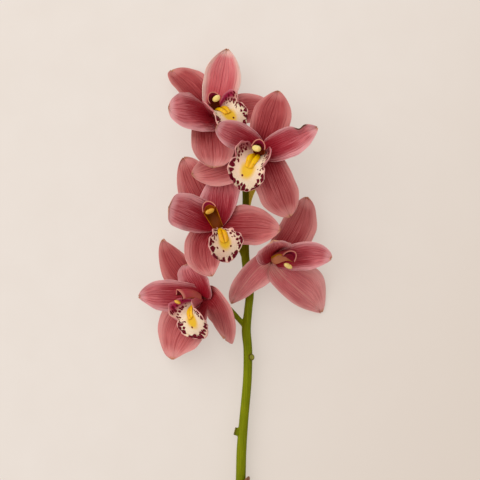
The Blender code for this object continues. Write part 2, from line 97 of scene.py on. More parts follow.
BLOOMS = {
    "a": Bloom(
        heart=(-0.0122, 0.1370, 0.0200),
        facing=(0.18, 0.44, 0.88),
        dorsal=(-0.72, 0.69, -0.45),
        pedicel=((0.0060, 0.0990, 0.0094), (0.0020, 0.1120, 0.0096), (-0.0060, 0.1240, 0.0094),
                 (-0.0112, 0.1315, 0.0110)),
        column=Column((0.0022, 0.0000, 0.0010), (-0.0010, 0.0062, 0.0126), 0.98, 0.08, 0.24, 1.0),
        lip=Lip(drop=0, turn=-4, roll=-8, scale=1.05, left=1.00, right=1.12),
        tepals={
            "dorsal_sepal": Tepal((-0.0243, 0.0256, -0.0194), 0.0198, 0.003, lean=0.10, belly=0.62,
                                  point=0.50),
            "petal_right": Tepal((0.0079, 0.0359, -0.0030), 0.0212, 0.002, belly=0.56, point=0.85),
            "petal_left": Tepal((-0.0243, 0.0003, 0.0200), 0.0266, 0.004, sway=-0.002, lean=-0.20,
                                belly=0.58, point=0.50),
            "lateral_sepal_right": Tepal((0.0350, 0.0030, -0.0060), 0.0200, 0.002),
            "lateral_sepal_left": Tepal((0.0003, -0.0325, 0.0180), 0.0245, 0.003, belly=0.70,
                                        point=0.45),
        },
    ),
    "b": Bloom(
        heart=(0.0142, 0.1140, 0.0380),
        facing=(-0.20, 0.00, 0.98),
        dorsal=(0.27, 0.96, 0.00),
        pedicel=((0.0068, 0.0780, 0.0092), (0.0087, 0.0892, 0.0101), (0.0140, 0.1020, 0.0135),
                 (0.0156, 0.1125, 0.0240)),
        column=Column((-0.0006, -0.0053, 0.0005), (-0.0008, 0.0062, 0.0125), 1.02, 0.20, -0.15, 1.0),
        lip=Lip(drop=0, turn=-6, roll=5, scale=1.06, left=0.95, right=0.98),
        tepals={
            "dorsal_sepal": Tepal((0.0103, 0.0332, -0.0020), 0.0225, 0.001, lean=0.08, belly=0.60,
                                  point=0.80),
            "petal_right": Tepal((0.0309, 0.0125, 0.0020), 0.0170, 0.004, lean=0.20, belly=0.52,
                                 point=0.72),
            "petal_left": Tepal((-0.0240, 0.0130, 0.0120), 0.0155, 0.002, belly=0.60, point=0.50),
            "lateral_sepal_right": Tepal((0.0168, -0.0355, -0.0110), 0.0228, 0.003, lean=0.06,
                                         belly=0.64, point=0.66),
            "lateral_sepal_left": Tepal((-0.0383, -0.0126, -0.0080), 0.0200, -0.002, lean=-0.15,
                                        belly=0.60, point=0.65),
        },
    ),
    "c": Bloom(
        heart=(-0.0099, 0.0728, 0.0270),
        facing=(0.06, 0.27, 0.96),
        dorsal=(-0.42, 0.90, -0.20),
        pedicel=((0.0064, 0.0520, 0.0089), (0.0030, 0.0600, 0.0094), (-0.0040, 0.0665, 0.0112),
                 (-0.0090, 0.0700, 0.0165)),
        column=Column((0.0008, -0.0008, 0.0010), (-0.0046, 0.0096, 0.0088), 1.05, 0.56, -0.05, 0.55),
        lip=Lip(drop=7, turn=-8, roll=-14, scale=1.0, left=0.20, right=0.20, callus=0.66),
        tepals={
            "dorsal_sepal": Tepal((-0.0190, 0.0386, -0.0090), 0.0225, 0.001, lean=-0.15, skew=0.12,
                                  point=0.65),
            "petal_right": Tepal((0.0052, 0.0285, -0.0020), 0.0235, 0.001, sway=-0.0010, lean=-0.20,
                                 skew=0.22, point=0.60, taper=0.70),
            "petal_left": Tepal((-0.0264, 0.0100, 0.0170), 0.0226, 0.002, sway=-0.0002, lean=0.13,
                                belly=0.66, skew=-0.18, point=0.28, taper=-0.60),
            "lateral_sepal_right": Tepal((0.0354, -0.0028, 0.0010), 0.0240, 0.001, sway=-0.0012, lean=-0.10,
                                         belly=0.52, skew=0.08, point=0.70),
            "lateral_sepal_left": Tepal((-0.0024, -0.0280, 0.0090), 0.0222, 0.001, sway=0.0035,
                                        lean=0.12, point=0.70),
        },
    ),
    "d": Bloom(
        heart=(-0.0189, 0.0324, 0.0220),
        facing=(-0.70, -0.14, 0.70),
        dorsal=(-0.55, 0.80, -0.20),
        pedicel=((0.0066, 0.0140, 0.0079), (0.0036, 0.0182, 0.0084), (-0.0050, 0.0275, 0.0105),
                 (-0.0125, 0.0334, 0.0162)),
        column=Column((-0.0010, 0.0000, 0.0015), (-0.0098, 0.0012, 0.0078), 0.98, 0.90, -0.10, 0.55,
                      spin=50),
        lip=Lip(drop=0, turn=-4, roll=0, scale=1.03, left=1.28, right=0.50),
        tepals={
            "dorsal_sepal": Tepal((-0.0214, 0.0335, -0.0080), 0.0255, -0.001, sway=-0.003, lean=-0.12,
                                  point=0.75),
            "petal_right": Tepal((-0.0065, 0.0199, 0.0060), 0.0240, 0.000, lean=-0.16, point=0.55),
            "petal_left": Tepal((-0.0348, 0.0008, -0.0020), 0.0192, 0.003, sway=0.002, belly=0.52,
                                point=0.80),
            "lateral_sepal_right": Tepal((0.0138, -0.0236, -0.0110), 0.0246, 0.002, sway=-0.0046, lean=0.08,
                                         cup=-12, belly=0.60, skew=0.14, point=0.30),
            "lateral_sepal_left": Tepal((-0.0155, -0.0354, -0.0100), 0.0335, 0.002, sway=0.004,
                                        belly=0.56, point=0.66, taper=-0.75),
        },
    ),
    "e": Bloom(
        heart=(0.0222, 0.0526, 0.0200),
        facing=(0.50, -0.10, 0.86),
        dorsal=(0.43, 0.89, -0.14),
        pedicel=((0.0084, 0.0330, 0.0084), (0.0100, 0.0400, 0.0088), (0.0135, 0.0480, 0.0093),
                 (0.0184, 0.0528, 0.0122)),
        column=Column((0.0006, 0.0016, 0.0006), (0.0068, 0.0006, 0.0118), 1.08, 1.00, 0.25, 0.70),
        lip=None,
        tepals={
            "dorsal_sepal": Tepal((0.0180, 0.0368, -0.0060), 0.0240, 0.003, sway=0.001, lean=0.12,
                                  belly=0.56, point=0.72),
            "petal_right": Tepal((0.0317, 0.0020, 0.0060), 0.0165, 0.003, sway=-0.003, point=0.62),
            "petal_left": Tepal((-0.0012, 0.0125, 0.0280), 0.0210, 0.002, roll=38, point=0.40),
            "lateral_sepal_right": Tepal((0.0271, -0.0292, -0.0196), 0.0246, 0.003, sway=-0.0006,
                                         lean=-0.30, belly=0.52, skew=-0.06, point=0.80,
                                         taper=-0.80),
            "lateral_sepal_left": Tepal((-0.0243, -0.0230, -0.0060), 0.0192, 0.003, sway=0.0025, lean=-0.08,
                                        belly=0.48, skew=0.16, point=0.80),
        },
    ),
}
tepal_count = sum(len(bloom.tepals) for bloom in BLOOMS.values())
print("blooms:", len(BLOOMS), "with", tepal_count, "petals and sepals")

# %% [markdown]
# ## Smooth curves
#
# Living shapes have no corners, so values between the named ones are read from smooth curves. `ramp` goes
# gently from 0 to 1, and `smooth_value` runs a Catmull-Rom curve through a few values. `curl` bends a flat
# strip into an arc without stretching it.

# %% Helpers for smooth shapes
STEP = 0.01
SIDE = Vector((1.0, 0.0, 0.0))


def ramp(value, start, end):
    share = min(max((value - start) / (end - start), 0.0), 1.0)
    return share * share * (3.0 - 2.0 * share)


def bump(value, middle, width):
    return exp(-((value - middle) / width) ** 2)


def smooth_value(values, along):
    last = len(values) - 1
    place = min(max(along, 0.0), 1.0) * last
    index = min(int(place), last - 1)
    part = place - index
    here, there = values[index], values[index + 1]
    before = values[index - 1] if index > 0 else 2 * here - there
    after = values[index + 2] if index < last - 1 else 2 * there - here
    return 0.5 * (2 * here + (there - before) * part
                  + (2 * before - 5 * here + 4 * there - after) * part ** 2
                  + (3 * here - before - 3 * there + after) * part ** 3)


def smooth_point(points, along):
    return Vector([smooth_value([point[axis] for point in points], along) for axis in range(3)])


def curl(across, half, angle):
    if abs(angle) < STEP:
        return across * half, 0.0
    return half / angle * sin(across * angle), half / angle * (1.0 - cos(across * angle))


def bloom_axes(bloom):
    """The bloom's own axes as columns: to its right, to its dorsal sepal and out of its face."""
    facing = Vector(bloom.facing).normalized()
    dorsal = Vector(bloom.dorsal)
    dorsal = (dorsal - facing * dorsal.dot(facing)).normalized()
    return Matrix((dorsal.cross(facing), dorsal, facing)).transposed()


for letter, bloom in BLOOMS.items():
    print("bloom", letter, "faces", [round(value, 2) for value in bloom_axes(bloom).col[2]])

# %% [markdown]
# ## Wiring a finish
#
# A flower has no two square millimetres of the same colour, so every finish here is a small network of
# shader nodes. Wiring one in code is repetitive, and these short helpers keep it readable: each adds a
# node, plugs what it is given into it, and hands back what comes out. Colours are written as they look on
# a screen, from 0 to 255, and `tint` turns them into the light values that Blender works with.

# %% Helpers for node trees
def tint(red, green, blue):
    shares = [value / 255 for value in (red, green, blue)]
    linear = [share / 12.92 if share < 0.04045 else ((share + 0.055) / 1.055) ** 2.4 for share in shares]
    return (*linear, 1.0)


def node(tree, kind, inputs=None, **settings):
    made = tree.nodes.new(kind)
    for name, value in settings.items():
        setattr(made, name, value)
    for name, value in (inputs or {}).items():
        if isinstance(value, bpy.types.NodeSocket):
            tree.links.new(value, made.inputs[name])
        else:
            made.inputs[name].default_value = value
    return made


def calc(tree, operation, first, second=0.0):
    return node(tree, "ShaderNodeMath", {0: first, 1: second}, operation=operation).outputs[0]


def times(tree, first, *others):
    for other in others:
        first = calc(tree, "MULTIPLY", first, other)
    return first


def plus(tree, first, *others):
    for other in others:
        first = calc(tree, "ADD", first, other)
    return first


def minus(tree, first, second):
    return calc(tree, "SUBTRACT", first, second)


def vector_calc(tree, operation, first, second):
    return node(tree, "ShaderNodeVectorMath", {0: first, 1: second}, operation=operation).outputs[0]


def how_far(tree, first, second):
    """The distance between two positions."""
    return node(tree, "ShaderNodeVectorMath", {0: first, 1: second}, operation="DISTANCE").outputs["Value"]


def fade(tree, value, start, end, low=0.0, high=1.0):
    limits = {"Value": value, "From Min": start, "From Max": end, "To Min": low, "To Max": high}
    return node(tree, "ShaderNodeMapRange", limits, interpolation_type="SMOOTHSTEP").outputs["Result"]


def paint(tree, share, under, over, blend="MIX"):
    layers = {0: share, 6: under, 7: over}
    return node(tree, "ShaderNodeMix", layers, data_type="RGBA", blend_type=blend).outputs[2]


def combine(tree, x, y, z=0.0):
    return node(tree, "ShaderNodeCombineXYZ", {"X": x, "Y": y, "Z": z}).outputs["Vector"]


def clouds(tree, vector, scale, detail=2.0, roughness=0.5):
    values = {"Vector": vector, "Scale": scale, "Detail": detail, "Roughness": roughness}
    return node(tree, "ShaderNodeTexNoise", values).outputs["Fac"]


def new_group(name, inputs, outputs):
    """A shader node group with float inputs and outputs, and the sockets that its inside is wired to."""
    tree = bpy.data.node_groups.new(name, "ShaderNodeTree")
    for socket in inputs:
        tree.interface.new_socket(socket, in_out="INPUT", socket_type="NodeSocketFloat")
    for socket in outputs:
        tree.interface.new_socket(socket, in_out="OUTPUT", socket_type="NodeSocketFloat")
    return tree, tree.nodes.new("NodeGroupInput").outputs, tree.nodes.new("NodeGroupOutput").inputs


def use_group(tree, name, **inputs):
    made = tree.nodes.new("ShaderNodeGroup")
    made.node_tree = bpy.data.node_groups[name]
    for socket, value in inputs.items():
        if isinstance(value, bpy.types.NodeSocket):
            tree.links.new(value, made.inputs[socket])
        else:
            made.inputs[socket].default_value = value
    return made.outputs


def new_finish(name, roughness, **values):
    """A material whose plain numbers sit on the shader's own sockets."""
    material = bpy.data.materials.new(name)
    material.use_nodes = True
    skin = material.node_tree.nodes["Principled BSDF"]
    skin.inputs["Roughness"].default_value = roughness
    for socket, value in values.items():
        skin.inputs[socket.replace("_", " ")].default_value = value
    return material, material.node_tree, skin


def dress(tree, skin, colour, height, depth):
    """Plugs a colour into the shader, and a height in shares of depth, in metres, as its bump."""
    tree.links.new(colour, skin.inputs["Base Color"])
    relief = node(tree, "ShaderNodeBump", {"Height": height, "Distance": depth, "Strength": 1.0})
    tree.links.new(relief.outputs["Normal"], skin.inputs["Normal"])


print("dusty rose in linear light:", [round(value, 3) for value in tint(185, 95, 100)[:3]])

# %% [markdown]
# ## Veins
#
# A cymbidium petal has a dozen veins that leave its base side by side, run its whole length and close
# again at the tip. The blade's UV map does just that: U runs across and V runs along, so a line of equal U
# is a vein. The group below bends those lines a little with noise, breaks them up, and adds the finer
# streaks between them. It hands out masks only, and each finish chooses its own colours for them.

# %% The vein and tissue groups
MOTTLE_SCALE = 60.0
CELL_SCALE = 2600.0

tree, given, wanted = new_group("Veins", ["Across", "Along", "Pairs"], ["Veins", "Streaks", "Midrib"])
place = combine(tree, given["Across"], given["Along"])
wobble = times(tree, minus(tree, clouds(tree, place, 3.0), 0.5), 0.16)
bent = plus(tree, given["Across"], wobble)
swing = calc(tree, "SINE", times(tree, bent, given["Pairs"], pi))
line = fade(tree, calc(tree, "ABSOLUTE", swing), 0.62, 0.0)
broken = combine(tree, times(tree, given["Across"], 9.0), times(tree, given["Along"], 4.0))
kept = fade(tree, clouds(tree, broken, 1.0, 3.0), 0.36, 0.62, 0.25, 1.0)
tree.links.new(times(tree, line, kept), wanted["Veins"])
fine = combine(tree, times(tree, bent, 26.0), times(tree, given["Along"], 3.0))
tree.links.new(fade(tree, clouds(tree, fine, 1.0, 4.0, 0.6), 0.34, 0.66), wanted["Streaks"])
off_middle = calc(tree, "ABSOLUTE", plus(tree, given["Across"], times(tree, wobble, 0.3)))
tree.links.new(fade(tree, off_middle, 0.055, 0.0), wanted["Midrib"])

tree, given, wanted = new_group("Tissue", ["Scale"], ["Mottle", "Cells"])
where = node(tree, "ShaderNodeTexCoord").outputs["Object"]
tree.links.new(clouds(tree, where, times(tree, given["Scale"], MOTTLE_SCALE), 3.0), wanted["Mottle"])
cell_scale = times(tree, given["Scale"], CELL_SCALE)
cells = node(tree, "ShaderNodeTexVoronoi", {"Vector": where, "Scale": cell_scale})
tree.links.new(cells.outputs["Distance"], wanted["Cells"])
print("groups:", sorted(group.name for group in bpy.data.node_groups))

# %% [markdown]
# ## The skin of petals and sepals
#
# The photo shows a dusty rose blade that turns deep red at the throat, with a paler hem all round, darker
# veins, a line along the midrib and a dry tan speck at the tip. The same wiring makes every one of these
# finishes, and the colours and reaches change. Petals are pinker and sepals browner, three upper sepals are
# duller, one petal of the top flower is pale salmon with a cream hem, and two sepals have a pale foot. A
# bitten petal has a brown scar by its bite, and the backs are dull. Some light goes through a petal, so its
# shader has a little subsurface scattering.

# %% Petal and sepal finishes
BITE_AT = 0.74
SCAR_SHIFT = 0.03
SCAR = tint(92, 48, 18)
DRY_TIP = tint(206, 146, 112)
VEIN_RELIEF = 0.00018


def blade_position(tree):
    """Where a point is on its blade: across from -1 to 1, and along from 0 at the foot to 1 at the tip."""
    unwrapped = node(tree, "ShaderNodeUVMap", uv_map="UVMap").outputs["UV"]
    parts = node(tree, "ShaderNodeSeparateXYZ", {"Vector": unwrapped}).outputs
    return minus(tree, times(tree, parts["X"], 2.0), 1.0), parts["Y"]


def tepal_finish(name, blade, tip, throat, vein, hem, reach=0.50, hem_start=0.50, throat_share=1.0,
                 vein_share=0.50, streak_share=0.5, bite=None):
    material, tree, skin = new_finish(
        name, 0.6, Specular_IOR_Level=0.15, Subsurface_Weight=0.06, Subsurface_Scale=0.0015)
    across, along = blade_position(tree)
    veins = use_group(tree, "Veins", Across=across, Along=along, Pairs=6.5)
    tissue = use_group(tree, "Tissue", Scale=1.0)
    aside = calc(tree, "ABSOLUTE", across)
    edge = calc(tree, "MAXIMUM", aside, fade(tree, along, 0.60, 1.02))
    inner = fade(tree, edge, 1.0, hem_start, 0.15, 1.0)
    colour = paint(tree, fade(tree, along, 0.25, 0.90), tint(*blade), tint(*tip))
    colour = paint(tree, fade(tree, tissue["Mottle"], 0.32, 0.68, 0.0, 0.35), colour, tint(*vein))
    colour = paint(tree, fade(tree, edge, hem_start, 1.0, 0.0, 0.80), colour, tint(*hem))
    streak = times(tree, minus(tree, veins["Streaks"], 0.5), 0.34)
    uneven = minus(tree, along, plus(tree, streak, times(tree, veins["Veins"], 0.16)))
    uneven = plus(tree, uneven, times(tree, aside, aside, 0.30))
    uneven = plus(tree, uneven, times(tree, minus(tree, tissue["Mottle"], 0.5), 0.2))
    deep = fade(tree, uneven, reach, 0.05, 0.0, throat_share)
    colour = paint(tree, times(tree, veins["Streaks"], inner, streak_share), colour, tint(*vein))
    colour = paint(tree, deep, colour, tint(*throat))
    strong = times(tree, veins["Veins"], fade(tree, along, 0.95, 0.35, 0.4, 1.0), inner, vein_share)
    colour = paint(tree, strong, colour, tint(*throat))
    midrib = times(tree, veins["Midrib"], fade(tree, along, 1.0, 0.6, 0.25, 0.5 + 0.5 * vein_share))
    colour = paint(tree, midrib, colour, tint(*throat))
    colour = paint(tree, fade(tree, aside, 0.955, 1.0, 0.0, 0.7), colour, tint(*hem))
    colour = paint(tree, fade(tree, along, 0.955, 0.995, 0.0, 0.8), colour, DRY_TIP)
    if bite:
        off_bite = calc(tree, "ABSOLUTE", minus(tree, along, bite + SCAR_SHIFT))
        torn = times(tree, fade(tree, across, -0.62, -0.88), fade(tree, off_bite, 0.12, 0.06))
        colour = paint(tree, torn, colour, SCAR)
    height = plus(tree, times(tree, veins["Veins"], -0.7), times(tree, tissue["Cells"], 0.25),
                  times(tree, veins["Streaks"], -0.4))
    dress(tree, skin, colour, height, VEIN_RELIEF)
    return material


ROSE = ((190, 76, 86), (226, 132, 136), (148, 8, 30), (144, 24, 42), (236, 176, 178))
TEPAL_SKINS = {
    "petal": tepal_finish("Rose petal", *ROSE, reach=0.78, streak_share=0.6),
    "bitten": tepal_finish("Bitten rose petal", *ROSE, reach=0.78, streak_share=0.6, bite=BITE_AT),
    "sepal": tepal_finish("Brown rose sepal", (184, 82, 85), (214, 122, 120), (138, 14, 28), (140, 36, 42),
                          (226, 158, 153), reach=0.56),
    "dusky": tepal_finish("Dusky dorsal sepal", (168, 66, 68), (190, 92, 91), (122, 8, 22), (130, 28, 36),
                          (212, 138, 133), reach=0.62),
    "pale": tepal_finish("Pale salmon petal", (216, 106, 109), (234, 150, 150), (168, 32, 50), (192, 62, 74),
                         (244, 214, 200), reach=0.34, hem_start=0.55, throat_share=0.7, vein_share=0.4),
    "bare": tepal_finish("Sepal with a bare foot", (212, 114, 116), (232, 148, 146), (216, 156, 142),
                         (158, 52, 62), (234, 170, 166), reach=0.20, throat_share=0.6, vein_share=0.05,
                         streak_share=0.5),
    "back": tepal_finish("Back of a blade", (196, 112, 106), (206, 130, 122), (166, 78, 74), (164, 72, 74),
                         (222, 162, 152), reach=0.35, vein_share=0.3),
}
print("blade finishes:", sorted(TEPAL_SKINS))

# %% [markdown]
# ## One flat blade, copied 25 times
#
# A petal starts as a flat grid, which already has the UV map that the veins need. Its flesh is thicker
# along the midrib and at the foot than at the hem, and a vertex group tells the Solidify modifier so. This
# one blade is the master: each petal and sepal is a copy of it, with its own mesh, that is bent into place.

# %% The master blade
BLADE_COLUMNS = 24
BLADE_ROWS = 36
HEM_FLESH = 0.35


def start_with(name):
    """Names the active object, and leaves nothing else selected."""
    made = bpy.context.object
    made.name = made.data.name = name
    return made


def add_grid(name, columns, rows):
    bpy.ops.object.select_all(action="DESELECT")
    bpy.ops.mesh.primitive_grid_add(x_subdivisions=columns, y_subdivisions=rows, size=2.0)
    return start_with(name)


def pick(piece):
    """Selects one piece alone and makes it the active one."""
    bpy.ops.object.select_all(action="DESELECT")
    piece.select_set(True)
    bpy.context.view_layer.objects.active = piece


def copy_of(master, name):
    pick(master)
    bpy.ops.object.duplicate()
    return start_with(name)


def apply_all(piece):
    pick(piece)
    for modifier in list(piece.modifiers):
        bpy.ops.object.modifier_apply(modifier=modifier.name)
    bpy.ops.object.shade_smooth()


def give_wall(piece, wall, group=None, thin=1.0, back=0):
    """A wall on both sides of the blade, then one round of subdivision that rounds its hem."""
    solidify = piece.modifiers.new("Wall", "SOLIDIFY")
    solidify.thickness = wall
    solidify.offset = 0.0
    solidify.material_offset = back
    if group:
        solidify.vertex_group = group
        solidify.thickness_vertex_group = thin
    rounding = piece.modifiers.new("Rounding", "SUBSURF")
    rounding.levels = rounding.render_levels = 1
    apply_all(piece)


def hand_over(piece, cad_node):
    """The finished piece rides with the flower spike and stands for its CAD node."""
    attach(piece, "root")
    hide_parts(cad_node)


blade_master = add_grid("blade_master", BLADE_COLUMNS, BLADE_ROWS)
flesh = blade_master.vertex_groups.new(name="Flesh")
for vert in blade_master.data.vertices:
    middle = 1.0 - ramp(abs(vert.co.x), 0.1, 1.0)
    flesh.add([vert.index], middle * (1.0 - 0.5 * ramp(vert.co.y, -1.0, 1.0)), "REPLACE")
print("master blade:", len(blade_master.data.polygons), "faces, layers", blade_master.data.uv_layers.keys())

# %% [markdown]
# ## Bending a blade into place
#
# Bending by hand would take a lattice for each of the 25 blades. A rule is quicker and keeps every blade
# near its CAD route: the midrib is a curve that fans out of the flower's heart, and each row of the grid
# stands across it. The real blade isn't a smooth spoon. It has a crease along its midrib, a hem that waves
# a little, and an outline that is never quite even, so the rule adds those.
#
# A blade's own numbers shape it. `belly` is where along it is widest, and `skew` moves that place on one
# side. `point` makes the tip sharp when it is large and blunt when it is small. `taper` narrows the foot on
# one side and fills it a little on the other, `lean` widens one side, and `cup` curls the blade across. The
# feet reach further into the heart than those of the CAD model and run into each other there, so that no
# light shows between them.

# %% The rule for a blade
FOOT_SHARE = 0.28
FOOT_POINT = 0.42
FOOT_FILL = 0.3
TIP_SHARE = 0.02
FIRST_GUIDE = 0.28
SECOND_GUIDE = 0.66
SECOND_BEND = 1.7
ROLL_END = 0.6
CUP_START = 0.1
CUP_END = 0.6
CREASE = 0.0016
CREASE_WIDTH = 0.10
CREASE_FULL = 0.3
HEM_WAVE = 0.0014
WAVE_START = 0.1
WAVE_FULL = 0.4
WAVES_ACROSS = 2.0
WAVES_ALONG = 5.0
SIDES_APART = 3.0
HEM_APART = 7.0
UNEVEN = 0.05
BITE_DEPTH = 0.50
BITE_WIDTH = 0.07


def quarter_wave(share):
    return sin(0.5 * pi * min(max(share, 0.0), 1.0))


def tepal_profile(tepal, along, across):
    """The share of its full width that a blade has here: broad from its foot on, and pointed at its tip."""
    belly = tepal.belly + tepal.skew * across
    narrowing = tepal.taper * across
    narrowing = FOOT_POINT + max(narrowing, FOOT_FILL * narrowing)
    foot = FOOT_SHARE + (1.0 - FOOT_SHARE) * quarter_wave(along / belly) ** narrowing
    tip = TIP_SHARE + (1.0 - TIP_SHARE) * quarter_wave((1.0 - along) / (1.0 - belly)) ** tepal.point
    return foot * tip


def tepal_place(bloom, part, bitten):
    tepal = bloom.tepals[part]
    depth = PETAL_DEPTH if part.startswith("petal") else SEPAL_DEPTH
    right, dorsal, facing = bloom_axes(bloom).col
    heart = Vector(bloom.heart)
    outward = dorsal * cos(radians(FAN[part])) + right * sin(radians(FAN[part]))
    base = heart - facing * depth + outward * BASE_REACH
    tip = heart + Vector(tepal.tip)
    reach = (tip - base).length
    side = (tip - base).cross(facing).normalized()
    bend = facing * tepal.bow + side * tepal.sway
    guides = (base, base + outward * FIRST_GUIDE * reach + bend,
              base.lerp(tip, SECOND_GUIDE) + SECOND_BEND * bend, tip)
    seed = Vector(tepal.tip) * 1000

    def midrib(along):
        rest = 1.0 - along
        return (guides[0] * rest ** 3 + guides[1] * 3 * rest ** 2 * along
                + guides[2] * 3 * rest * along ** 2 + guides[3] * along ** 3)

    def place(across, along):
        tangent = (midrib(along + STEP) - midrib(along - STEP)).normalized()
        flat = tangent.cross(facing).normalized()
        front = flat.cross(tangent)
        roll = radians(tepal.roll) * ramp(along, 0.0, ROLL_END)
        across_way = flat * cos(roll) + front * sin(roll)
        front_way = front * cos(roll) - flat * sin(roll)
        own_side = SIDES_APART if across > 0 else -SIDES_APART
        edge = noise.noise(seed + Vector((own_side, WAVES_ALONG * along, 0.0)))
        half = 0.5 * tepal.width * tepal_profile(tepal, along, across) * (1.0 + tepal.lean * across)
        half *= 1.0 + UNEVEN * edge * abs(across)
        if bitten and across < 0.0:
            half *= 1.0 - BITE_DEPTH * bump(along, BITE_AT, BITE_WIDTH)
        out, rise = curl(across, half, radians(tepal.cup) * ramp(along, CUP_START, CUP_END))
        fold = (across ** 2 + CREASE_WIDTH ** 2) ** 0.5 - CREASE_WIDTH
        rise += CREASE * fold * ramp(along, 0.0, CREASE_FULL)
        wave = noise.noise(seed + Vector((WAVES_ACROSS * across, WAVES_ALONG * along, HEM_APART)))
        rise += HEM_WAVE * wave * across * across * ramp(along, WAVE_START, WAVE_FULL)
        return midrib(along) + across_way * out + front_way * rise

    return place


def bend_grid(piece, place):
    """Moves each point of a flat grid to where place(across, along) says."""
    for vert in piece.data.vertices:
        vert.co = place(vert.co.x, 0.5 + 0.5 * vert.co.y)


# %% [markdown]
# Each blade gets its own skin for its front and the dull one for its back, which the Solidify modifier
# gives to the faces that it adds.

# %% Make the petals and sepals
SKIN_OF = {
    ("a", "dorsal_sepal"): "dusky",
    ("b", "dorsal_sepal"): "dusky",
    ("d", "dorsal_sepal"): "dusky",
    ("b", "petal_right"): "bitten",
    ("a", "petal_right"): "pale",
    ("e", "lateral_sepal_left"): "bare",
    ("e", "lateral_sepal_right"): "bare",
}


def make_tepal(letter, bloom, part):
    kind = "petal" if part.startswith("petal") else "sepal"
    piece = copy_of(blade_master, f"{letter}_{part}")
    skin = SKIN_OF.get((letter, part), kind)
    piece.data.materials.append(TEPAL_SKINS[skin])
    piece.data.materials.append(TEPAL_SKINS["back"])
    bend_grid(piece, tepal_place(bloom, part, skin == "bitten"))
    give_wall(piece, TEPAL_WALL, group="Flesh", thin=HEM_FLESH, back=1)
    hand_over(piece, f"bloom_{letter}_{part}")
    return piece


tepals = [make_tepal(letter, bloom, part) for letter, bloom in BLOOMS.items() for part in bloom.tepals]
bpy.data.objects.remove(blade_master)
print("petals and sepals:", len(tepals), "of", len(tepals[0].data.polygons), "faces each")

# %% [markdown]
# ## The skin of the lip
#
# The lip is the showy part: cream with a yellow throat, a wine flush and freckles on its side lobes, and
# dark blotches that almost join along its front edge. Spots like these come well from a Voronoi texture,
# measured in millimetres on the surface so that they are about round. A distance below a limit is a spot,
# and the limit grows towards the edge. Only the few large dots on the middle lobe are placed one by one.

# %% Lip finishes
LIP_HALF_MM = 11.5
LIP_LENGTH_MM = 31.0
LIP_TURN_MM = 19.0
LIPS_APART_MM = 40.0
LIP_DOTS = {
    "a": ((-1.1, 22.0),),
    "b": ((1.8, 23.3),),
    "c": ((5.7, 23.0), (2.2, 24.6), (-3.1, 23.2), (-1.1, 18.9)),
    "d": ((5.3, 18.6), (2.5, 22.8)),
}
LIP_FLUSH = {"a": 1.0, "b": 0.8, "c": 0.2, "d": 1.0}
BLOTCH_SIZE = 0.52
FRECKLE_SIZE = 0.42
LIP_RELIEF = 0.00012


def spots(tree, position, spacing, radius, ragged):
    """Round-ish spots at about that spacing in millimetres, where radius, a share of it, allows."""
    shaken = node(tree, "ShaderNodeTexNoise", {"Vector": position, "Scale": 1.1, "Detail": 2.0})
    shift = vector_calc(tree, "SUBTRACT", shaken.outputs["Color"], (0.5, 0.5, 0.5))
    shift = vector_calc(tree, "MULTIPLY", shift, (ragged, ragged, ragged))
    moved = vector_calc(tree, "ADD", position, shift)
    cell = node(tree, "ShaderNodeTexVoronoi", {"Vector": moved, "Scale": 1.0 / spacing, "Randomness": 0.8},
                voronoi_dimensions="2D").outputs
    own = node(tree, "ShaderNodeSeparateColor", {0: cell["Color"]}).outputs[0]
    limit = times(tree, radius, fade(tree, own, 0.0, 1.0, 0.75, 1.15))
    return fade(tree, minus(tree, cell["Distance"], limit), 0.04, -0.04)


